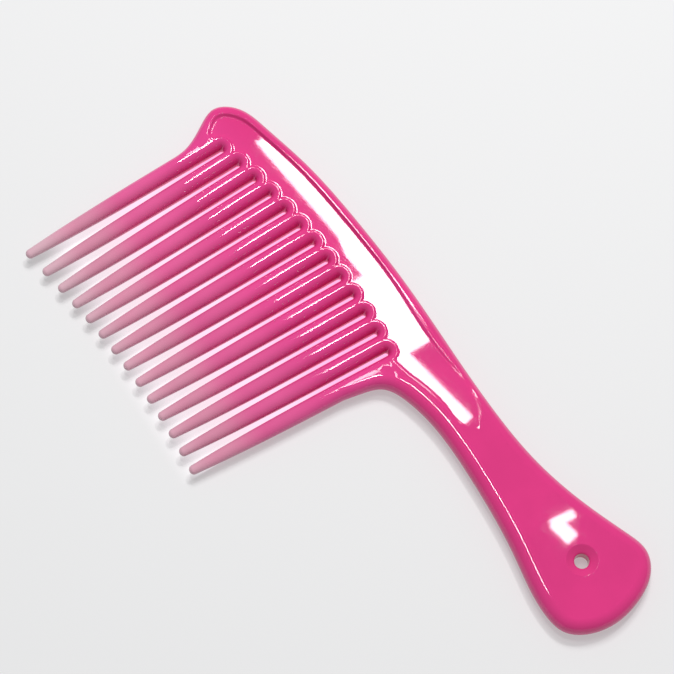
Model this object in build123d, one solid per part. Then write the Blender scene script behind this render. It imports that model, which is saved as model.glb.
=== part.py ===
from build123d import *
import os

# Wide tooth comb with a handle. The real comb is one glossy plastic moulding. Here it is split
# into its natural zones: the back, the neck, the handle and fourteen teeth.
#
# Lengths are in millimetres. The drawing frame has its origin at the centre of the hanging hole,
# +X towards the handle's end, the teeth pointing towards -Y, and +Z up from the resting plane.
# At the end every zone is moved so that the origin is the bottom centre of the comb's own box.

# ---- driving dimensions ------------------------------------------------------------------
THICKNESS = 10.0           # handle, rim and tooth roots, from face to face
EDGE_RADIUS = 4.5          # the outer edge is rounded almost fully on both faces
PANEL_RECESS = 1.2         # the panel between rim and teeth is lower by this on each face

TOOTH_COUNT = 14
ROOT_PITCH = 8.14          # tooth spacing where the teeth leave the back
TIP_PITCH = 7.5            # tooth spacing at the tips, so the row closes in slightly
FIRST_ROOT_X = -200.07
LAST_TIP_X = -98.5
ROOT_HALF_WIDTH = 3.28
TIP_HALF_WIDTH = 1.75
WIDTH_TAPER = 3.3          # the width stays nearly constant at first, then falls quickly
ROOT_HALF_THICKNESS = 4.8
TIP_HALF_THICKNESS = 1.7
THICKNESS_TAPER = 1.1
TOOTH_STATIONS = 7         # cross-sections in each tooth's loft
TIP_CAP = 1.6              # length of the rounded tip beyond the last cross-section

ARCH_CREST_X = -119.3      # the row of arches is highest here
ARCH_CREST_Y = -11.95
ARCH_BOW = 0.00178         # and falls away to both sides as a parabola
ARCH_RISE = 3.5            # from the cusp on a tooth's centre line up to the arch beside it
ARCH_TO_SLOT = 4.1         # from an arch's top down to the closed end of its slot
SLOT_END_ROUND = 3.0       # rounding of the faces where a slot begins
END_TOOTH_LAND = 1.3       # on the first and last tooth it stops this short of the centre line

TIP_CREST_Y = -96.5
TIP_CREST_NUMBER = 11.5
TIP_BOW = 0.0907           # the row of tips is a parabola in the tooth's number
SPLAY = 3.0                # the first tooth's tip stands this far outwards
SPLAY_TEETH = 3

HOLE_RADIUS = 2.6
DISH_RADIUS = 5.5
DISH_DEPTH = 1.8

NECK_START_X = -84.0       # the back ends here and the neck begins
NECK_END_X = -50.0         # the neck ends here and the handle begins

MID = THICKNESS / 2

# ---- outline of the comb without its teeth, from tooth 1 over the spine to tooth 14 ------
OUTLINE = [
    (-203.2, -46.0), (-203.5, -38.0), (-208.6, -28.0), (-211.9, -20.5), (-207.6, -12.7), (-196.0, -7.8),
    (-175.0, -2.6), (-148.0, 1.2), (-118.0, 3.4), (-85.0, 3.8), (-60.0, 4.4),
    (-38.0, 6.8), (-18.0, 12.1), (0.0, 19.1), (8.5, 21.2), (15.5, 18.1),
    (21.0, 9.8), (23.3, 1.0), (21.8, -10.8), (16.5, -18.0), (8.0, -20.2),
    (-14.0, -18.0), (-45.0, -15.8), (-68.0, -16.7), (-80.0, -19.5), (-88.6, -24.0),
    (-92.0, -36.0), (-92.8, -44.0),
]

# ---- edge of the recessed panel: round the head end, along the spine, back along the neck ----
PANEL_UPPER = [
    (-203.2, -27.6), (-207.6, -20.6), (-204.4, -15.4), (-195.0, -11.2), (-175.0, -6.2),
    (-148.0, -2.4), (-118.0, -0.2), (-85.0, 0.2), (-63.0, 0.2),
]
PANEL_END = (-57.0, -4.6)
PANEL_LOWER = [(-63.0, -9.6), (-69.0, -10.2), (-79.0, -11.9), (-88.6, -15.1), (-94.3, -17.3)]


def arch_top(x):
    """Height on the plan of the row of arch tops at x."""
    return ARCH_CREST_Y - ARCH_BOW * (x - ARCH_CREST_X) ** 2


def root_x(number):
    """Centre line of a tooth where it leaves the back."""
    return FIRST_ROOT_X + ROOT_PITCH * (number - 1)


def slot_x(number):
    """Centre line of the slot between tooth NUMBER and the next one."""
    return root_x(number) + ROOT_PITCH / 2


def cusp(number):
    """Point on a tooth's centre line where the arches on its two sides meet."""
    x = root_x(number)
    return x, arch_top(x) - ARCH_RISE


def crest(number):
    """Top of the arch over the slot between tooth NUMBER and the next one."""
    x = slot_x(number)
    return x, arch_top(x)


def slot_end(number):
    x, y = crest(number)
    return x, y - ARCH_TO_SLOT


def arch_side(number, sign):
    """Point half way round the arch from a tooth's cusp to the crest at its right or left."""
    low_x, low_y = cusp(number)
    high_x, high_y = crest(number if sign > 0 else number - 1)
    return low_x + 0.29 * (high_x - low_x), low_y + 0.71 * (high_y - low_y)


def tip_point(number):
    outwards = SPLAY * (max(SPLAY_TEETH + 1 - number, 0) / SPLAY_TEETH) ** 2
    x = LAST_TIP_X - TIP_PITCH * (TOOTH_COUNT - number) - outwards
    y = TIP_CREST_Y - TIP_BOW * (number - TIP_CREST_NUMBER) ** 2
    return x, y


def blank():
    """The comb without teeth, solid between its faces, with its outer edge rounded."""
    edge = Spline(*OUTLINE)
    closing = Line(edge @ 1, edge @ 0)
    body = extrude(make_face([edge, closing]), THICKNESS)
    outer = [e for e in body.edges().filter_by(Plane.XY) if e.geom_type != GeomType.LINE]
    return fillet(outer, EDGE_RADIUS)


def panel_pockets():
    """The two pockets that leave the panel lower than the rim, the tooth roots and the neck."""
    upper = Spline(*PANEL_UPPER)
    end = ThreePointArc(PANEL_UPPER[-1], PANEL_END, PANEL_LOWER[0])
    lower = Spline(*PANEL_LOWER)
    below = Polyline(PANEL_LOWER[-1], (-130.0, -22.0), (-175.0, -30.0), PANEL_UPPER[0])
    pocket = extrude(make_face([upper, end, lower, below]), PANEL_RECESS)
    return Pos(0, 0, THICKNESS - PANEL_RECESS) * pocket + pocket


def root_foot(number):
    """Lower corners of a tooth's root, from left to right."""
    left = slot_end(number - 1) if number > 1 else (-206.4, -37.9)
    right = slot_end(number) if number < TOOTH_COUNT else (-86.0, -35.9)
    inner_left = (root_x(number) - 2.0, left[1])
    inner_right = (root_x(number) + 2.0, right[1])
    return [left, inner_left, inner_right, right]


def root_zone(number, reach=0.0):
    """Plan area of a tooth's root: half an arch on each side of the cusp.

    With a reach, the area goes on below the root by that much, wide enough for the leaning tooth.
    """
    tip_of_cusp = cusp(number)
    if number > 1:
        left = crest(number - 1)
        left_top = ThreePointArc(left, arch_side(number, -1), tip_of_cusp)
    else:
        left = (-206.4, -31.6)
        left_top = Line(left, tip_of_cusp)
    if number < TOOTH_COUNT:
        right = crest(number)
        right_top = ThreePointArc(tip_of_cusp, arch_side(number, 1), right)
    else:
        right = (-86.0, -23.5)
        right_top = Line(tip_of_cusp, right)
    foot = root_foot(number)
    if reach:
        (left_x, left_y), (right_x, right_y) = foot[0], foot[-1]
        low = min(left_y, right_y) - reach
        wide = [(left_x - 12.0, left_y), (left_x - 12.0, low)]
        wide += [(right_x + 12.0, low), (right_x + 12.0, right_y)]
        foot = [foot[0], *wide, foot[-1]]
    around = Polyline(right, *reversed(foot), left)
    return make_face([left_top, right_top, around])


def tooth_body(number):
    """The tapering tooth, from inside its root to its round tip."""
    start_x = root_x(number)
    start_y = cusp(number)[1] + SLOT_END_ROUND
    end_x, end_y = tip_point(number)
    end_y = end_y + TIP_CAP
    sections = []
    for station in range(TOOTH_STATIONS):
        along = station / (TOOTH_STATIONS - 1)
        narrowing = (ROOT_HALF_WIDTH - TIP_HALF_WIDTH) * along ** WIDTH_TAPER
        thinning = (ROOT_HALF_THICKNESS - TIP_HALF_THICKNESS) * along ** THICKNESS_TAPER
        x = start_x + (end_x - start_x) * along
        y = start_y + (end_y - start_y) * along
        plane = Plane(origin=(x, y, MID), x_dir=(1, 0, 0), z_dir=(0, -1, 0))
        ring = Ellipse(ROOT_HALF_WIDTH - narrowing, ROOT_HALF_THICKNESS - thinning)
        sections.append(plane * ring)
    cap = scale(Sphere(1.0), by=(TIP_HALF_WIDTH, TIP_CAP, TIP_HALF_THICKNESS))
    return loft(sections) + Pos(end_x, end_y, MID) * cap


def slot_mouth(number, side):
    """The material rounded away from both faces where a slot begins beside a tooth."""
    end_x, end_y = slot_end(number if side > 0 else number - 1)
    at_end_of_row = number in (1, TOOTH_COUNT)
    inner_x = root_x(number) + side * (END_TOOTH_LAND if at_end_of_row else -0.01)
    low_x = min(end_x + side * 0.01, inner_x)
    width = abs(end_x + side * 0.01 - inner_x)
    radius = SLOT_END_ROUND
    turn = radius * (1 - 0.5 ** 0.5)
    start, finish = (end_y - 1, THICKNESS - radius), (end_y + radius, THICKNESS + 1)
    curve_start, curve_end = (end_y, THICKNESS - radius), (end_y + radius, THICKNESS)
    curve = ThreePointArc(curve_start, (end_y + turn, THICKNESS - turn), curve_end)
    rest = Polyline(curve_end, finish, (end_y - 1, THICKNESS + 1), start, curve_start)
    upper = Plane.YZ * make_face([curve, rest])
    wedge = Pos(low_x, 0, 0) * extrude(upper, width)
    return wedge + mirror(wedge, about=Plane.XY.offset(MID))


def tooth(number, whole):
    """A tooth with its root."""
    block = extrude(root_zone(number), THICKNESS) & whole
    if number > 1:
        block = block - slot_mouth(number, -1)
    if number < TOOTH_COUNT:
        block = block - slot_mouth(number, 1)
    body = tooth_body(number) & extrude(root_zone(number, reach=90.0), THICKNESS)
    return block + body


def hanging_hole():
    """The through hole, with a shallow dish round it on each face."""
    slope = (DISH_RADIUS - HOLE_RADIUS) / DISH_DEPTH
    cutter = Pos(0, 0, MID) * Cylinder(HOLE_RADIUS, THICKNESS + 2)
    dish = Cone(HOLE_RADIUS, DISH_RADIUS + slope, DISH_DEPTH + 1)
    middle = THICKNESS - DISH_DEPTH + (DISH_DEPTH + 1) / 2
    cutter = cutter + Pos(0, 0, middle) * dish
    return cutter + Pos(0, 0, THICKNESS - middle) * Rot(180, 0, 0) * dish


def slab(x_low, x_high):
    """A tall box that keeps the stretch between two positions along the comb."""
    return Pos((x_low + x_high) / 2, 0, MID) * Box(x_high - x_low, 200, THICKNESS * 4)


def tooth_field():
    """Everything below the tooth roots, where only the teeth themselves remain."""
    edge = []
    for number in range(1, TOOTH_COUNT + 1):
        corners = root_foot(number)
        edge.extend(corners if number == TOOTH_COUNT else corners[:3])
    loop = Polyline(*edge, (-86.0, -60.0), (-206.4, -60.0), close=True)
    return extrude(make_face(loop), THICKNESS)


def zones():
    """Every named zone of the comb in the drawing frame."""
    whole = blank()
    frame = whole - panel_pockets() - tooth_field() - hanging_hole()
    teeth = {}
    for number in range(1, TOOTH_COUNT + 1):
        frame = frame - extrude(root_zone(number), THICKNESS)
        teeth[f"tooth_{number:02d}"] = tooth(number, whole)
    parts = {
        "back": frame & slab(-230.0, NECK_START_X),
        "neck": frame & slab(NECK_START_X, NECK_END_X),
        "handle": frame & slab(NECK_END_X, 40.0),
    }
    parts.update(teeth)
    return parts


def main():
    parts = zones()
    corners = [shape.bounding_box() for shape in parts.values()]
    x_low = min(box.min.X for box in corners)
    x_high = max(box.max.X for box in corners)
    y_low = min(box.min.Y for box in corners)
    y_high = max(box.max.Y for box in corners)
    to_origin = Pos(-(x_low + x_high) / 2, -(y_low + y_high) / 2, 0)
    os.makedirs("parts", exist_ok=True)
    for name, shape in parts.items():
        moved = to_origin * shape
        export_step(moved, f"parts/{name}.step")
        print(name, "solids", len(moved.solids()), "volume", round(moved.volume, 1))
    print("size", x_high - x_low, y_high - y_low, THICKNESS)
    print("hanging hole at", -(x_low + x_high) / 2, -(y_low + y_high) / 2)


main()
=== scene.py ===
import math

import bpy
import numpy as np
from mathutils import Matrix, Vector
from mathutils.geometry import delaunay_2d_cdt

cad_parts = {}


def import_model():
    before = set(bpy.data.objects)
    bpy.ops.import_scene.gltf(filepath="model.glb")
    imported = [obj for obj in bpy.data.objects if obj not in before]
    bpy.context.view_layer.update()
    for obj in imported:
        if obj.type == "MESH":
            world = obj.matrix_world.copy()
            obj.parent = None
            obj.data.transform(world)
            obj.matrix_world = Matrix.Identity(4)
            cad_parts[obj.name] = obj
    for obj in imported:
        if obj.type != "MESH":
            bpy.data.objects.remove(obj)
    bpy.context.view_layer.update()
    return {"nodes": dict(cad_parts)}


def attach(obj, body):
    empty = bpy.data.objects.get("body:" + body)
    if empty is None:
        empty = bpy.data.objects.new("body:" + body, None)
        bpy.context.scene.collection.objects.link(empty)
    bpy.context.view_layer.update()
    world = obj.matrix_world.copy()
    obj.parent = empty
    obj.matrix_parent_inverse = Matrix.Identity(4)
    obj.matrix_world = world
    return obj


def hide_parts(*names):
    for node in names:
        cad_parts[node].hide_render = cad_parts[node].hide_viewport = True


# Looks of the wide tooth comb. The comb is the same above and below its middle plane, so the code
# makes its upper skin as one surface, mirrors it, and cuts it into the frame and fourteen teeth.
#
# Lengths are millimetres in the part's drawing frame: the origin is the centre of the hanging
# hole, the teeth point towards -Y, and heights are above the middle plane. TO_ROW moves the
# drawing frame to the row frame.
TO_ROW = np.array([94.2224, 42.6379, 5.0])

TOOTH_COUNT = 14
ROOT_PITCH = 8.14
TIP_PITCH = 7.5
FIRST_ROOT_X = -200.07
LAST_TIP_X = -98.5
ROOT_HALF_WIDTH = 3.28
TIP_HALF_WIDTH = 1.75
WIDTH_TAPER = 3.3
ROOT_HEIGHT = 4.8          # half of the thickness at a tooth's root
TIP_HEIGHT = 1.7
HEIGHT_TAPER = 1.1
TIP_CAP = 1.6              # length of a tooth's round end
TIP_CREST_Y = -96.5        # the tips lie on a bow, whose crest is here
TIP_CREST_NUMBER = 11.5    # and at this place in the count of teeth
TIP_BOW = 0.0907
SPLAY = 3.0                # how far tooth 1's tip is set outwards; the next teeth's tips less
SPLAY_TEETH = 3
ARCH_CREST_X = -119.3      # the tops of the arches lie on a bow as well
ARCH_CREST_Y = -11.95
ARCH_BOW = 0.00178
ARCH_RISE = 3.5            # from the cusp between two arches up to their tops
ARCH_TO_SLOT = 4.1         # from an arch's top down to the centre of the slot's round end
ARCH_FALL = 0.75           # width of the slope from an arch's edge down to the panel
ROOT_LENGTH = 8.0          # part of a tooth below its cusp that has closer spokes

FACE_HEIGHT = 5.0          # half of the thickness at the flat faces
EDGE_WIDTH = 4.6           # width of the rounded outer edge
RIM_WIDTH = 3.4            # and beside the panel, where only a narrow rim is left
RING_WIDTH = 2.6           # part of the rounded edge that is laid in regular rings
PANEL_RECESS = 1.2
PANEL_FALL = (-0.15, 1.0)  # the slope from rim to panel, measured inwards from its edge
PANEL_FADE = (-140.0, -57.0)  # the panel rises evenly here to the face of the neck
HOLE_RADIUS = 2.6
DISH_RADIUS = 5.5
DISH_DEPTH = 1.8
LIP = (0.35, 0.25)         # width and depth of the rounding where the dish meets the hole

LIGHT_HEIGHT = 1200.0
CAMERA_SPOT = (84.127, -127.081)
CAMERA_HEIGHT = 678.7      # above the middle plane
CAMERA_FORWARD = (-0.27645, 0.13908, -0.95091)
CAMERA_RIGHT = (0.52526, 0.85047, -0.02832)
LENS_LENGTH = 107.63       # focal length on a 36 mm sensor
PAINTED_PALING_RUN = (0.030, -0.060)  # the painted paling of the teeth, for light showing through their thin tips; from the spine to the tips; row Y, metres
FLOOR_SHADE = 0.42         # reflectance of the floor
FLOOR_GLOW = 0.37          # light that the floor gives off itself

FIRST_JOIN_Y = -44.0       # tooth 1 and tooth 14 flow into the frame's outline here
LAST_JOIN_Y = -38.0
JOIN_RUN = (9.0, 24.0)     # from a join, the outer edge grows to its full width over this run
RIM_END = (-62.0, -45.0)   # the rim beside the panel widens here to the handle's rounded edge
END_TOOTH_SIDE = (3.6, 10.0)  # beside an end tooth, the face rises from its height to full height
END_TOOTH_TOP = 6.0        # and over this length below the tooth's cusp
END_TOOTH_INNER = -3.0     # the face is lower no further than this on the tooth's other side
LAYERS = 14                # steps from the silhouette to the top of a rounded edge
SLOPE_STEP = 0.04          # the frame's slopes are measured this far to each side of a point

OUTLINE = [
    (-203.5, -38.5), (-208.6, -28.0), (-211.9, -20.5), (-207.6, -12.7), (-196.0, -7.8),
    (-175.0, -2.6), (-148.0, 1.2), (-118.0, 3.4), (-85.0, 3.8), (-60.0, 4.4),
    (-38.0, 6.8), (-18.0, 12.1), (0.0, 19.1), (8.5, 21.2), (15.5, 18.1),
    (21.0, 9.8), (23.3, 1.0), (21.8, -10.8), (16.5, -18.0), (8.0, -20.2),
    (-14.0, -18.0), (-45.0, -15.8), (-68.0, -16.7), (-80.0, -19.5), (-88.4, -24.5),
    (-90.75, -31.0),
]
PANEL_UPPER = [
    (-203.2, -27.6), (-207.6, -20.6), (-204.4, -15.4), (-195.0, -11.2), (-175.0, -6.2),
    (-148.0, -2.4), (-118.0, -0.2), (-85.0, 0.2), (-63.0, 0.2), (-57.0, -4.6),
    (-63.0, -9.6), (-69.0, -10.2), (-79.0, -11.9), (-88.6, -15.1),
]


# ---- curves ------------------------------------------------------------------------------
def evenly(curve, spacing):
    """The same curve with points at an even spacing."""
    run = np.concatenate([[0], np.cumsum(np.hypot(*np.diff(curve, axis=0).T))])
    count = max(int(round(run[-1] / spacing)), 2)
    wanted = np.linspace(0, run[-1], count + 1)
    return np.column_stack([np.interp(wanted, run, curve[:, axis]) for axis in (0, 1)])


def smooth_curve(points, spacing):
    """Evenly spaced points on the smooth curve through POINTS."""
    knots = np.array(points, float)
    run = np.concatenate([[0], np.cumsum(np.hypot(*np.diff(knots, axis=0).T))])
    gap = np.diff(run)
    slope = np.diff(knots, axis=0) / gap[:, None]
    system = np.eye(len(knots))
    wanted = np.zeros_like(knots)
    for i in range(1, len(knots) - 1):
        system[i, i - 1:i + 2] = gap[i - 1], 2 * (gap[i - 1] + gap[i]), gap[i]
        wanted[i] = 6 * (slope[i] - slope[i - 1])
    bend = np.linalg.solve(system, wanted)
    fine = np.linspace(0, run[-1], 6000)
    i = np.clip(np.searchsorted(run, fine, side="right") - 1, 0, len(gap) - 1)
    before = ((run[i + 1] - fine) / gap[i])[:, None]
    after = 1 - before
    curved = (before ** 3 - before) * bend[i] + (after ** 3 - after) * bend[i + 1]
    curve = before * knots[i] + after * knots[i + 1] + curved * (gap[i] ** 2)[:, None] / 6
    return evenly(curve, spacing)


def ease(value, start=0.0, end=1.0):
    """0 up to START, 1 from END on, and a smooth step between them."""
    part = np.clip((value - start) / (end - start), 0, 1)
    return part * part * (3 - 2 * part)


def nearest(points, curve):
    """Distance from each point to the curve, and the number of the nearest curve point."""
    number = np.empty(len(points), int)
    for start in range(0, len(points), 1000):
        part = points[start:start + 1000]
        gaps = (part[:, None, 0] - curve[None, :, 0]) ** 2 + (part[:, None, 1] - curve[None, :, 1]) ** 2
        number[start:start + 1000] = gaps.argmin(1)
    distance = np.hypot(*(points - curve[number]).T)
    for step in (-1, 1):
        towards = curve[np.clip(number + step, 0, len(curve) - 1)] - curve[number]
        length = np.maximum((towards ** 2).sum(1), 1e-12)
        along = np.clip(((points - curve[number]) * towards).sum(1) / length, 0, 1)
        foot = curve[number] + towards * along[:, None]
        distance = np.minimum(distance, np.hypot(*(points - foot).T))
    return distance, number


def inside(points, loop):
    """True for each point within the closed loop."""
    found = np.zeros(len(points), bool)
    x, y = points[:, 0], points[:, 1]
    for (x1, y1), (x2, y2) in zip(loop, np.roll(loop, -1, axis=0)):
        if y1 != y2:
            crosses = (y1 > y) != (y2 > y)
            found ^= crosses & (x < x1 + (x2 - x1) * (y - y1) / (y2 - y1))
    return found


# ---- teeth -------------------------------------------------------------------------------
def arch_top(x):
    """Height on the plan of the line that the tops of the arches touch."""
    return ARCH_CREST_Y - ARCH_BOW * (x - ARCH_CREST_X) ** 2


def root_x(number):
    """Where a tooth's centre line starts; teeth are counted from the head end."""
    return FIRST_ROOT_X + ROOT_PITCH * (number - 1)


def cusp_y(number):
    """Where the arches on the two sides of a tooth meet on its centre line."""
    return arch_top(root_x(number)) - ARCH_RISE


def slot_centre(number):
    """Centre of the round end of the slot after tooth NUMBER."""
    x = root_x(number) + ROOT_PITCH / 2
    return np.array([x, arch_top(x) - ARCH_TO_SLOT])


def tooth_axis(number):
    """Start and end of the tooth's centre line; the end is the middle of the round tip."""
    outwards = SPLAY * (max(SPLAY_TEETH + 1 - number, 0) / SPLAY_TEETH) ** 2
    tip_x = LAST_TIP_X - TIP_PITCH * (TOOTH_COUNT - number) - outwards
    tip_y = TIP_CREST_Y - TIP_BOW * (number - TIP_CREST_NUMBER) ** 2
    return root_x(number), cusp_y(number), tip_x, tip_y + TIP_CAP


def tooth_section(number, y):
    """Centre line position, half width and half thickness of a tooth at height y on the plan."""
    start_x, start_y, end_x, end_y = tooth_axis(number)
    along = min(max((start_y - y) / (start_y - end_y), 0.0), 1.0)
    x = start_x + (end_x - start_x) * along
    width = ROOT_HALF_WIDTH - (ROOT_HALF_WIDTH - TIP_HALF_WIDTH) * along ** WIDTH_TAPER
    height = ROOT_HEIGHT - (ROOT_HEIGHT - TIP_HEIGHT) * along ** HEIGHT_TAPER
    return x, width, height


def crown_rows(number):
    """Heights on the plan at which a tooth's skin has a spoke, from the round tip to the cusp."""
    _, top, _, bottom = tooth_axis(number)
    join = {1: FIRST_JOIN_Y, TOOTH_COUNT: LAST_JOIN_Y}.get(number, top - ROOT_LENGTH)
    lower = np.linspace(bottom, join, int((join - bottom) / 1.0))
    upper = np.linspace(join, top, int((top - join) / 0.45))
    return np.concatenate([lower, upper[1:]])


def arch_points(number, side, count=12):
    """Edge of the half arch from a tooth's cusp to the crest over the slot beside it."""
    centre = slot_centre(number if side > 0 else number - 1)
    start = np.array([root_x(number), cusp_y(number)]) - centre
    start_angle = math.atan2(start[1], start[0])
    if side > 0:
        start_angle %= 2 * math.pi
    start_reach = math.hypot(*start)
    points = []
    for step in range(count + 1):
        along = step / count
        angle = start_angle + (math.pi / 2 - start_angle) * along
        reach = start_reach + (ARCH_TO_SLOT - start_reach) * ease(along)
        points.append(centre + reach * np.array([math.cos(angle), math.sin(angle)]))
    points[-1] = centre + np.array([0, ARCH_TO_SLOT])
    return points


def side_point(number, side, ridge):
    """Silhouette point that belongs to a point on the tooth's crown line or on the arch's edge."""
    outer = (number == 1 and side < 0) or (number == TOOTH_COUNT and side > 0)
    if not outer:
        centre = slot_centre(number if side > 0 else number - 1)
        if ridge[1] > centre[1]:
            x, width, _ = tooth_section(number, centre[1])
            beside = abs(centre[0] - x) - width
            direction = (ridge - centre) / np.hypot(*(ridge - centre))
            above = ROOT_PITCH / 2 - ROOT_HALF_WIDTH
            reach = beside + (above - beside) * abs(direction[1])
            return centre + direction * reach
    x, width, _ = tooth_section(number, ridge[1])
    return np.array([x + side * width, ridge[1]])


def spoke(border, ridge, height):
    """Skin points from the silhouette up to the ridge, on a quarter ellipse."""
    turn = np.linspace(0, math.pi / 2, LAYERS + 1)
    plan = border + (ridge - border) * (1 - np.cos(turn))[:, None]
    return np.column_stack([plan, height * np.sin(turn)])


def tooth_side(number, side):
    """All spokes on one side of a tooth, from the tip to the crest of the arch beside it."""
    _, _, tip_x, tip_y = tooth_axis(number)
    middle = np.array([tip_x, tip_y])
    spokes = []
    for turn in np.linspace(0, math.pi / 2, 9)[:-1]:
        reach = (side * TIP_HALF_WIDTH * math.sin(turn), -TIP_CAP * math.cos(turn))
        spokes.append(spoke(middle + np.array(reach), middle, TIP_HEIGHT))
    outer = (number == 1 and side < 0) or (number == TOOTH_COUNT and side > 0)
    join = FIRST_JOIN_Y if number == 1 else LAST_JOIN_Y
    for y in crown_rows(number):
        if outer and y > join + 0.001:
            break
        x, _, height = tooth_section(number, y)
        ridge = np.array([x, y])
        spokes.append(spoke(side_point(number, side, ridge), ridge, height))
    if not outer:
        for ridge in arch_points(number, side)[1:]:
            spokes.append(spoke(side_point(number, side, ridge), ridge, ROOT_HEIGHT))
    return spokes


# ---- the upper skin ------------------------------------------------------------------------
class Skin:
    """Points and faces of the upper half. Points at the same place on the plan are shared.

    A face's owner is the name of its piece. KNOWN holds the normals that are worked out from the
    shape itself, by point number; the other points take theirs from the faces round them.
    """

    def __init__(self):
        self.points = []
        self.numbers = {}
        self.faces = []
        self.owners = []
        self.known = {}

    def add_point(self, point):
        key = (round(float(point[0]), 3), round(float(point[1]), 3))
        if key not in self.numbers:
            self.numbers[key] = len(self.points)
            self.points.append([float(value) for value in point])
        return self.numbers[key]

    def add_face(self, corners, owner):
        around = [n for i, n in enumerate(corners) if n != corners[i - 1]]
        if len(set(around)) < 3:
            return
        x, y = np.array([self.points[n][:2] for n in around]).T
        if np.dot(x, np.roll(y, -1)) < np.dot(y, np.roll(x, -1)):
            around.reverse()
        self.faces.append(around)
        self.owners.append(owner)

    def add_strips(self, spokes, owner):
        rows = [[self.add_point(point) for point in line] for line in spokes]
        for here, there in zip(rows, rows[1:]):
            for i in range(len(here) - 1):
                self.add_face([here[i], here[i + 1], there[i + 1], there[i]], owner)

    def normals(self):
        """Smooth normal at every point, weighted by the faces' areas."""
        place = np.array(self.points)
        total = np.zeros_like(place)
        for face in self.faces:
            corners = place[face]
            first, second = corners[2] - corners[0], corners[-1] - corners[1]
            if len(face) == 3:
                first, second = corners[1] - corners[0], corners[2] - corners[0]
            total[face] += np.cross(first, second)
        for number, direction in self.known.items():
            total[number] = direction
        total[place[:, 2] < 1e-6, 2] = 0
        return total / np.maximum(np.linalg.norm(total, axis=1), 1e-12)[:, None]


def outline_curve(spacing=0.8):
    """The frame's outline between its joins with tooth 1 and tooth 14."""
    x, width, _ = tooth_section(1, FIRST_JOIN_Y)
    start = (x - width, FIRST_JOIN_Y)
    x, width, _ = tooth_section(TOOTH_COUNT, LAST_JOIN_Y)
    end = (x + width, LAST_JOIN_Y)
    return smooth_curve([start, *OUTLINE, end], spacing)


def edge_widths(outline):
    """Width of the rounded edge at each outline point, and how far it is from the joins (0 to 1).

    At the joins it is just under a tooth's half width, and past JOIN_RUN it has its own width.
    """
    run = np.concatenate([[0], np.cumsum(np.hypot(*np.diff(outline, axis=0).T))])
    back = run[-1] - run
    settled = ease(run, *JOIN_RUN) * ease(back, *JOIN_RUN)
    beside_panel = (run < run[outline[:, 0].argmax()]) * (1 - ease(outline[:, 0], *RIM_END))
    wanted = EDGE_WIDTH + (RIM_WIDTH - EDGE_WIDTH) * beside_panel
    return ROOT_HALF_WIDTH - 0.02 + (wanted - ROOT_HALF_WIDTH + 0.02) * settled, settled


def face_height(points):
    """Half thickness of the frame's faces, lower where they run down into the end teeth."""
    height = np.full(len(points), FACE_HEIGHT)
    for number, away in ((1, -1), (TOOTH_COUNT, 1)):
        beside = away * (points[:, 0] - root_x(number))
        here = (1 - ease(beside, *END_TOOTH_SIDE)) * (beside > END_TOOTH_INNER)
        here = here * ease(cusp_y(number) - points[:, 1], 0, END_TOOTH_TOP)
        tooth = np.array([tooth_section(number, y)[2] for y in points[:, 1]])
        height = height + (np.minimum(tooth, FACE_HEIGHT) - height) * here
    return height


def frame_rings(outline):
    """The rounded outer edge of the frame in regular rings, as spokes."""
    widths, settled = edge_widths(outline)
    along = np.gradient(outline, axis=0)
    inwards = np.column_stack([along[:, 1], -along[:, 0]])
    inwards /= np.hypot(*inwards.T)[:, None]
    inwards[0] = (1, 0)
    inwards[-1] = (-1, 0)
    full = math.pi / 2
    spokes = []
    for i, border in enumerate(outline):
        part = math.acos(1 - RING_WIDTH / widths[i])
        turn = np.linspace(0, full + (part - full) * settled[i], LAYERS + 1)
        plan = border + inwards[i] * widths[i] * (1 - np.cos(turn))[:, None]
        spokes.append(np.column_stack([plan, face_height(plan) * np.sin(turn)]))
    for i, number, y in ((0, 1, FIRST_JOIN_Y), (-1, TOOTH_COUNT, LAST_JOIN_Y)):
        x, _, height = tooth_section(number, y)
        ridge = np.array([x, y])
        spokes[i] = spoke(side_point(number, -1 if number == 1 else 1, ridge), ridge, height)
    return spokes


def arch_row():
    """The edge of all the arches, from tooth 14's cusp to tooth 1's cusp."""
    row = []
    for number in range(TOOTH_COUNT, 0, -1):
        if number < TOOTH_COUNT:
            row.extend(reversed(arch_points(number, 1)[:-1]))
        else:
            row.append(np.array([root_x(number), cusp_y(number)]))
        if number > 1:
            row.extend(arch_points(number, -1)[1:])
    return row


def frame_border(spokes):
    """Closed loop inside the rings, above the teeth's crown lines and the arches."""
    last = [y for y in crown_rows(TOOTH_COUNT) if y > LAST_JOIN_Y + 0.001][:-1]
    first = [y for y in crown_rows(1) if y > FIRST_JOIN_Y + 0.001][:-1]
    loop = [line[-1][:2] for line in spokes]
    loop += [np.array([tooth_section(TOOTH_COUNT, y)[0], y]) for y in last]
    loop += arch_row()
    loop += [np.array([tooth_section(1, y)[0], y]) for y in reversed(first)]
    return np.array(loop)


def panel_edge():
    """The edge between rim and panel, from tooth 1's cusp round to tooth 14's cusp."""
    end = (root_x(TOOTH_COUNT) + 0.3, cusp_y(TOOTH_COUNT) + 0.25)
    curve = smooth_curve([*PANEL_UPPER, end], 0.7)
    foot = np.array([root_x(1) - 0.2, cusp_y(1) + 0.2])
    return np.vstack([evenly(np.array([foot, curve[0]]), 0.7)[:-1], curve])


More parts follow.
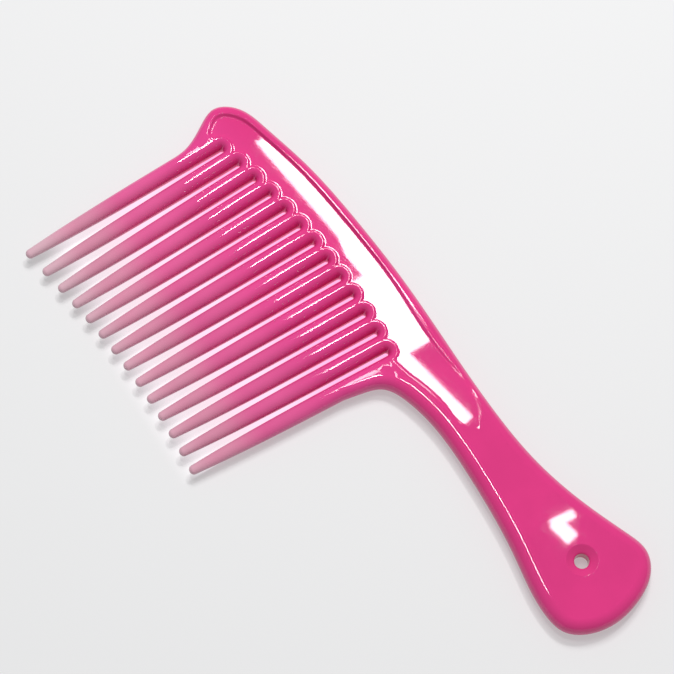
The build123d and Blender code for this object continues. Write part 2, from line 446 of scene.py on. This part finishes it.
def frame_height(points, outline, edge, arches):
    """Height of the frame's upper skin at each point of the plan."""
    widths, _ = edge_widths(outline)
    far, number = nearest(points, outline)
    rise = 1 - np.clip(far / widths[number], 0, 1)
    height = face_height(points) * np.sqrt(1 - rise ** 2)
    from_arch, _ = nearest(points, evenly(arches, 0.2))
    within = inside(points, np.vstack([edge, arches]))
    from_edge, _ = nearest(points, evenly(edge, 0.2))
    from_edge = np.where(within, from_edge, -from_edge)
    # The panel's even rise is averaged over a short length, which rounds its start and its end.
    risen = [np.clip((points[:, 0] + shift - PANEL_FADE[0]) / np.ptp(PANEL_FADE), 0, 1)
             for shift in (-3, -1.5, 0, 1.5, 3)]
    recess = PANEL_RECESS * ease(from_edge, *PANEL_FALL) * (1 - np.mean(risen, axis=0))
    height = height - recess
    fallen = ease(from_arch, 0, ARCH_FALL)
    height = np.where(within, ROOT_HEIGHT + (height - ROOT_HEIGHT) * fallen, height)
    from_hole = np.hypot(points[:, 0], points[:, 1])
    dish = np.clip((DISH_RADIUS - from_hole) / (DISH_RADIUS - HOLE_RADIUS), 0, 1)
    lip_width, lip_depth = LIP
    lip = lip_depth * np.clip((HOLE_RADIUS + lip_width - from_hole) / lip_width, 0, 1) ** 2
    return height - DISH_DEPTH * dish - lip


def shoulder_rows(edge, arches, border):
    """Plan points in rows along the inner limit of the rounded outer edge."""
    curve = outline_curve()
    along = np.gradient(curve, axis=0)
    inwards = np.column_stack([along[:, 1], -along[:, 0]])
    inwards /= np.hypot(*inwards.T)[:, None]
    kept = []
    for offset in (3.0, 3.4, 3.8, 4.1, 4.35, 4.6, 4.9, 5.4):
        row = curve + inwards * offset
        clear = (nearest(row, edge)[0] > 1.7) & (nearest(row, arches)[0] > 1.4)
        clear &= (nearest(row, border)[0] > 0.25) & (nearest(row, curve)[0] > offset * 0.97)
        kept.append(row[clear & inside(row, border)])
    return np.vstack(kept)


def feature_rows(edge, arches, border):
    """Plan points on both sides of the panel's edge and beyond the arches."""
    kept = []
    for curve, offsets, spacing in (
        (edge, (-0.6, -0.35, -0.15, 0.1, 0.35, 0.6, 0.85, 1.1, 1.4), 0.8),
        (arches, (0.12, 0.27, 0.42, 0.58, 0.75, 1.1), 0.45),
    ):
        along = np.gradient(curve, axis=0)
        across = np.column_stack([along[:, 1], -along[:, 0]])
        across /= np.maximum(np.hypot(*across.T), 1e-9)[:, None]
        other = arches if curve is edge else edge
        for offset in offsets:
            row = evenly(curve + across * offset, spacing)
            from_own, _ = nearest(row, evenly(curve, 0.2))
            from_other, _ = nearest(row, evenly(other, 0.2))
            from_border, _ = nearest(row, border)
            clear = (from_own > 0.93 * abs(offset)) & (from_other > 0.9)
            clear &= from_border > (0.25 if curve is edge else 0.0)
            kept.append(row[clear & inside(row, border)])
    return np.vstack(kept)


def hole_rings():
    """Circles of plan points from the hanging hole's edge to just beyond its dish."""
    rings = [HOLE_RADIUS, 2.7, 2.85, 3.1, 3.6, 4.2, 4.8, 5.2, 5.4, 5.6, 5.9, 6.5]
    turn = np.linspace(0, 2 * math.pi, 49)[:-1]
    circle = np.column_stack([np.cos(turn), np.sin(turn)])
    return [circle * radius for radius in rings]


def open_grid(border, edge, arches, spacing=1.5):
    """Even plan points over the rest of the frame."""
    low, high = border.min(0), border.max(0)
    rows = np.arange(low[1], high[1], spacing * 0.866)
    columns = np.arange(low[0], high[0], spacing)
    grid = [(x + spacing / 2 * (i % 2), y) for i, y in enumerate(rows) for x in columns]
    grid = np.array(grid)
    grid = grid[inside(grid, border)]
    clear = (nearest(grid, edge)[0] > 1.9) & (nearest(grid, arches)[0] > 1.6)
    clear &= (nearest(grid, border)[0] > 0.8) & (np.hypot(*grid.T) > 7.2)
    clear &= nearest(grid, outline_curve())[0] > 5.9
    return grid[clear]


def frame_interior(skin, spokes):
    """Fills the frame between its rings, the arches and the hanging hole."""
    border = frame_border(spokes)
    arches = np.array(arch_row())
    edge = panel_edge()
    rings = hole_rings()
    free = [feature_rows(edge, arches, border), shoulder_rows(edge, arches, border)]
    free += [open_grid(border, edge, arches), *rings[1:]]
    plan = np.vstack([border, rings[0], *free])
    size, hole = len(border), len(rings[0])
    edges = [(i, (i + 1) % size) for i in range(size)]
    edges += [(size + i, size + (i + 1) % hole) for i in range(hole)]
    corners = [Vector(point) for point in plan]
    _, _, faces, sources, _, _ = delaunay_2d_cdt(corners, edges, [], 0, 1e-5, True)
    fine = outline_curve(0.2)
    heights = frame_height(plan, fine, edge, arches)
    slopes = []
    for move in (np.array([SLOPE_STEP, 0]), np.array([0, SLOPE_STEP])):
        above = frame_height(plan + move, fine, edge, arches)
        below = frame_height(plan - move, fine, edge, arches)
        slopes.append((above - below) / (2 * SLOPE_STEP))
    numbers = [skin.add_point((*place, height)) for place, height in zip(plan, heights)]
    # The slopes give the normals, except at the joins with the end teeth, along the crown
    # lines and the arches, and on the hole's edge: there the faces round the point give them.
    ringed = len(spokes)
    for i in [*range(3, ringed - 3), *range(size + hole, len(plan))]:
        skin.known[numbers[i]] = (-slopes[0][i], -slopes[1][i], 1.0)
    found = [[sources[n][0] for n in face] for face in faces]
    middles = np.array([plan[face].mean(0) for face in found])
    kept = inside(middles, border) & ~inside(middles, rings[0])
    for face, keep in zip(found, kept):
        if keep:
            skin.add_face([numbers[n] for n in face], "comb_frame")


def whole_skin():
    """The upper half of the whole comb as one surface: teeth, rounded outer edge and faces."""
    skin = Skin()
    for number in range(1, TOOTH_COUNT + 1):
        for side in (-1, 1):
            skin.add_strips(tooth_side(number, side), f"tooth_skin_{number:02d}")
    outline = outline_curve()
    spokes = frame_rings(outline)
    skin.add_strips(spokes, "comb_frame")
    frame_interior(skin, spokes)
    return skin


# ---- pieces ----------------------------------------------------------------------------------
def closed_mesh(faces, place, normals):
    """One piece's points, faces and corner normals: skin, mirrored skin and the cuts between."""
    used = sorted({n for face in faces for n in face})
    top = {n: i for i, n in enumerate(used)}
    raised = [n for n in used if place[n][2] > 1e-6]
    low = {n: len(used) + i for i, n in enumerate(raised)}
    bottom = {n: low.get(n, top[n]) for n in used}
    down = np.array([1, 1, -1])
    points = [place[n] for n in used] + [place[n] * down for n in raised]
    shapes, directions, edges = [], [], {}
    for face in faces:
        shapes.append([top[n] for n in face])
        directions.extend(normals[n] for n in face)
        shapes.append([bottom[n] for n in reversed(face)])
        directions.extend(normals[n] * down for n in reversed(face))
        for a, b in zip(face, face[1:] + face[:1]):
            edges[(a, b)] = edges.get((a, b), 0) + 1
    for a, b in edges:
        if (b, a) in edges or (a not in low and b not in low):
            continue
        wall = [top[b], top[a], bottom[a], bottom[b]]
        wall = [n for i, n in enumerate(wall) if n != wall[i - 1]]
        across = np.array([place[b][1] - place[a][1], place[a][0] - place[b][0], 0.0])
        across /= np.linalg.norm(across)
        in_bore = math.hypot(*place[a][:2]) < HOLE_RADIUS + 0.5
        shapes.append(wall)
        for n in wall:
            at = np.array(points[n]) * [1, 1, 0]
            directions.append(-at / np.linalg.norm(at) if in_bore else across)
    return points, shapes, directions


def make_piece(name, faces, place, normals, nodes, material):
    """Makes one closed piece from its part of the skin, in place of the CAD nodes."""
    points, shapes, directions = closed_mesh(faces, place, normals)
    mesh = bpy.data.meshes.new(name)
    mesh.from_pydata([tuple((p + TO_ROW) / 1000) for p in points], [], shapes)
    mesh.shade_smooth()
    mesh.normals_split_custom_set([tuple(d) for d in directions])
    mesh.materials.append(material)
    piece = bpy.data.objects.new(name, mesh)
    bpy.context.scene.collection.objects.link(piece)
    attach(piece, "root")
    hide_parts(*nodes)


def make_comb(material):
    """The frame is one piece, in place of three CAD nodes. Each tooth is one piece."""
    skin = whole_skin()
    place = np.array(skin.points)
    normals = skin.normals()
    groups = {}
    for face, owner in zip(skin.faces, skin.owners):
        groups.setdefault(owner, []).append(face)
    for owner, faces in groups.items():
        nodes = ["back", "neck", "handle"]
        if owner.startswith("tooth"):
            nodes = [owner.replace("_skin", "")]
        make_piece(owner, faces, place, normals, nodes, material)


# ---- materials -------------------------------------------------------------------------------
def new_node(tree, kind, **settings):
    """A new shader node, with its named properties set."""
    node = tree.nodes.new(kind)
    for name, value in settings.items():
        setattr(node, name, value)
    return node


def colour_ramp(tree, value, stops):
    """The colour that VALUE picks from the stops, each a position and a colour."""
    ramp = new_node(tree, "ShaderNodeValToRGB")
    ramp.color_ramp.interpolation = "EASE"
    while len(ramp.color_ramp.elements) < len(stops):
        ramp.color_ramp.elements.new(0.5)
    for element, (position, colour) in zip(ramp.color_ramp.elements, stops):
        element.position = position
        element.color = (*colour, 1)
    tree.links.new(value, ramp.inputs["Fac"])
    return ramp.outputs["Color"]


def comb_plastic():
    """Glossy pink plastic, painted paler and duller towards the tips of the teeth, for the light that
    shows through the thin translucent tips.
    """
    material = bpy.data.materials.new("comb_plastic")
    material.use_nodes = True
    tree = material.node_tree
    shader = tree.nodes["Principled BSDF"]
    place = new_node(tree, "ShaderNodeTexCoord").outputs["Object"]
    split = new_node(tree, "ShaderNodeSeparateXYZ")
    tree.links.new(place, split.inputs[0])
    down = new_node(tree, "ShaderNodeMapRange")
    down.inputs["From Min"].default_value = PAINTED_PALING_RUN[0]
    down.inputs["From Max"].default_value = PAINTED_PALING_RUN[1]
    tree.links.new(split.outputs["Y"], down.inputs["Value"])
    # Painted light: the teeth turn paler towards their tips, for light showing through the thin
    # plastic.
    colour = colour_ramp(tree, down.outputs["Result"], [
        (0.0, (0.70, 0.036, 0.212)),
        (0.22, (0.73, 0.050, 0.255)),
        (0.58, (0.70, 0.105, 0.290)),
        (0.80, (0.66, 0.250, 0.370)),
        (1.0, (0.66, 0.410, 0.480)),
    ])
    cloud = new_node(tree, "ShaderNodeTexNoise")
    cloud.inputs["Scale"].default_value = 55
    cloud.inputs["Detail"].default_value = 3
    tree.links.new(place, cloud.inputs["Vector"])
    shade = colour_ramp(tree, cloud.outputs["Fac"], [(0.3, (0.93, 0.93, 0.93)), (0.7, (1, 1, 1))])
    tint = new_node(tree, "ShaderNodeMix", data_type="RGBA", blend_type="MULTIPLY")
    tint.inputs["Factor"].default_value = 1
    tree.links.new(colour, tint.inputs["A"])
    tree.links.new(shade, tint.inputs["B"])
    tree.links.new(tint.outputs["Result"], shader.inputs["Base Color"])
    wear = new_node(tree, "ShaderNodeTexNoise")
    wear.inputs["Scale"].default_value = 420
    wear.inputs["Detail"].default_value = 4
    tree.links.new(place, wear.inputs["Vector"])
    dull = new_node(tree, "ShaderNodeMapRange")
    dull.inputs["To Min"].default_value = 0.01
    dull.inputs["To Max"].default_value = 0.04
    tree.links.new(wear.outputs["Fac"], dull.inputs["Value"])
    tree.links.new(dull.outputs["Result"], shader.inputs["Roughness"])
    shader.inputs["IOR"].default_value = 1.5
    return material


def between(tree, value, start, end):
    """0 where VALUE is below START, 1 above END, and a smooth step between; both in metres."""
    step = new_node(tree, "ShaderNodeMapRange", interpolation_type="SMOOTHSTEP")
    step.inputs["From Min"].default_value = start
    step.inputs["From Max"].default_value = end
    tree.links.new(value, step.inputs["Value"])
    return step.outputs["Result"]


def times(tree, first, second):
    """The product of two values."""
    product = new_node(tree, "ShaderNodeMath", operation="MULTIPLY")
    tree.links.new(first, product.inputs[0])
    tree.links.new(second, product.inputs[1])
    return product.outputs[0]


def floor_material():
    """A pale table top that gives off some light, and a painted pink glow under the tooth row for light
    coming through the pink teeth.
    """
    material = bpy.data.materials.new("pale_floor")
    material.use_nodes = True
    tree = material.node_tree
    shader = tree.nodes["Principled BSDF"]
    shader.inputs["Base Color"].default_value = (FLOOR_SHADE, FLOOR_SHADE, FLOOR_SHADE, 1)
    shader.inputs["Roughness"].default_value = 0.9
    shader.inputs["Specular IOR Level"].default_value = 0
    place = new_node(tree, "ShaderNodeTexCoord").outputs["Object"]
    split = new_node(tree, "ShaderNodeSeparateXYZ")
    tree.links.new(place, split.inputs[0])
    # The soft limits of the painted pink glow under the teeth, in metres of the row frame.
    left = between(tree, split.outputs["X"], -0.1055, -0.1045)
    right = between(tree, split.outputs["X"], -0.0025, -0.0035)
    low = between(tree, split.outputs["Y"], -0.0600, -0.0450)
    high = between(tree, split.outputs["Y"], 0.0310, 0.0300)
    under = times(tree, times(tree, left, right), times(tree, low, high))
    # Painted glow: greyish near the tips and pinker towards the roots, for light through the teeth.
    tint = colour_ramp(tree, between(tree, split.outputs["Y"], -0.055, 0.025), [
        (0.0, (0.72, 0.70, 0.73)),
        (0.45, (0.98, 0.74, 0.88)),
        (1.0, (1.15, 0.50, 0.80)),
    ])
    mixed = new_node(tree, "ShaderNodeMix", data_type="RGBA")
    tree.links.new(under, mixed.inputs["Factor"])
    mixed.inputs["A"].default_value = (FLOOR_GLOW, FLOOR_GLOW, FLOOR_GLOW * 1.01, 1)
    tree.links.new(tint, mixed.inputs["B"])
    tree.links.new(mixed.outputs["Result"], shader.inputs["Emission Color"])
    shader.inputs["Emission Strength"].default_value = 1
    return material


# ---- surroundings ------------------------------------------------------------------------------
def make_floor():
    """A wide plane just below the comb."""
    mesh = bpy.data.meshes.new("floor")
    half = 3.0
    corners = [(-half, -half, 0), (half, -half, 0), (half, half, 0), (-half, half, 0)]
    mesh.from_pydata([(x, y, z - 0.0001) for x, y, z in corners], [], [(0, 1, 2, 3)])
    mesh.materials.append(floor_material())
    floor = bpy.data.objects.new("floor", mesh)
    bpy.context.scene.collection.objects.link(floor)


def softbox(name, seen_at, size, radiance, turn=0.0):
    """A rectangular light that faces straight down from LIGHT_HEIGHT.

    SEEN_AT is the spot on the comb's flat face where the camera sees the light's reflection, and
    SIZE is the size of that reflection, both in drawing millimetres. The sloping part of the
    panel shows the reflection about 12 mm nearer to the handle.
    """
    spread = 1 + LIGHT_HEIGHT / CAMERA_HEIGHT
    place = spread * np.array(seen_at) - (spread - 1) * np.array(CAMERA_SPOT)
    light = bpy.data.lights.new(name, "AREA")
    light.shape = "RECTANGLE"
    light.size = size[0] * spread / 1000
    light.size_y = size[1] * spread / 1000
    light.energy = radiance * math.pi * light.size * light.size_y
    holder = bpy.data.objects.new(name, light)
    holder.location = Vector((np.array([*place, LIGHT_HEIGHT]) + TO_ROW) / 1000)
    holder.rotation_euler = (0, 0, math.radians(turn))
    holder.visible_camera = False
    bpy.context.scene.collection.objects.link(holder)
    return holder


def make_lights():
    """The lights that the comb reflects, one that only makes shadows, and an even surround."""
    softbox("spine_softbox", (-171, 54), (58, 130), 28, 7.2)
    softbox("row_softbox", (-124, 51), (34, 130), 28, 0)
    softbox("neck_softbox", (-91.5, -9.3), (34, 6), 28, 10.9)
    softbox("key", (-73, 92), (36, 36), 170).visible_glossy = False
    softbox("tooth_strip", (-146, -61), (107, 16), 14, 2)
    softbox("shoulder_strip", (-40, -60), (84, 30), 45, 0)
    softbox("window", (-15.6, 2.6), (3.2, 9), 28, -6)
    softbox("window_sill", (-12.0, 0.6), (8.8, 5.0), 28, 12)
    world = bpy.data.worlds.new("surroundings")
    world.use_nodes = True
    world.node_tree.nodes["Background"].inputs["Color"].default_value = (0.98, 0.99, 1.0, 1)
    world.node_tree.nodes["Background"].inputs["Strength"].default_value = 0.32
    bpy.context.scene.world = world


def make_camera():
    """Looks down at the comb from beyond the handle's lower side."""
    forward = Vector(CAMERA_FORWARD).normalized()
    right = Vector(CAMERA_RIGHT)
    right = (right - forward * right.dot(forward)).normalized()
    up = right.cross(forward)
    turn = Matrix((right, up, -forward)).transposed()
    lens = bpy.data.cameras.new("camera")
    lens.lens = LENS_LENGTH
    lens.sensor_width = 36
    lens.clip_start = 0.01
    camera = bpy.data.objects.new("camera", lens)
    spot = Vector((np.array([*CAMERA_SPOT, CAMERA_HEIGHT]) + TO_ROW) / 1000)
    camera.matrix_world = Matrix.Translation(spot) @ turn.to_4x4()
    bpy.context.scene.collection.objects.link(camera)
    bpy.context.scene.camera = camera


def main():
    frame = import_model()
    print("nodes in the frame:", len(frame["nodes"]))
    make_comb(comb_plastic())
    make_floor()
    make_lights()
    make_camera()
    bpy.context.scene.view_settings.view_transform = "Standard"


main()
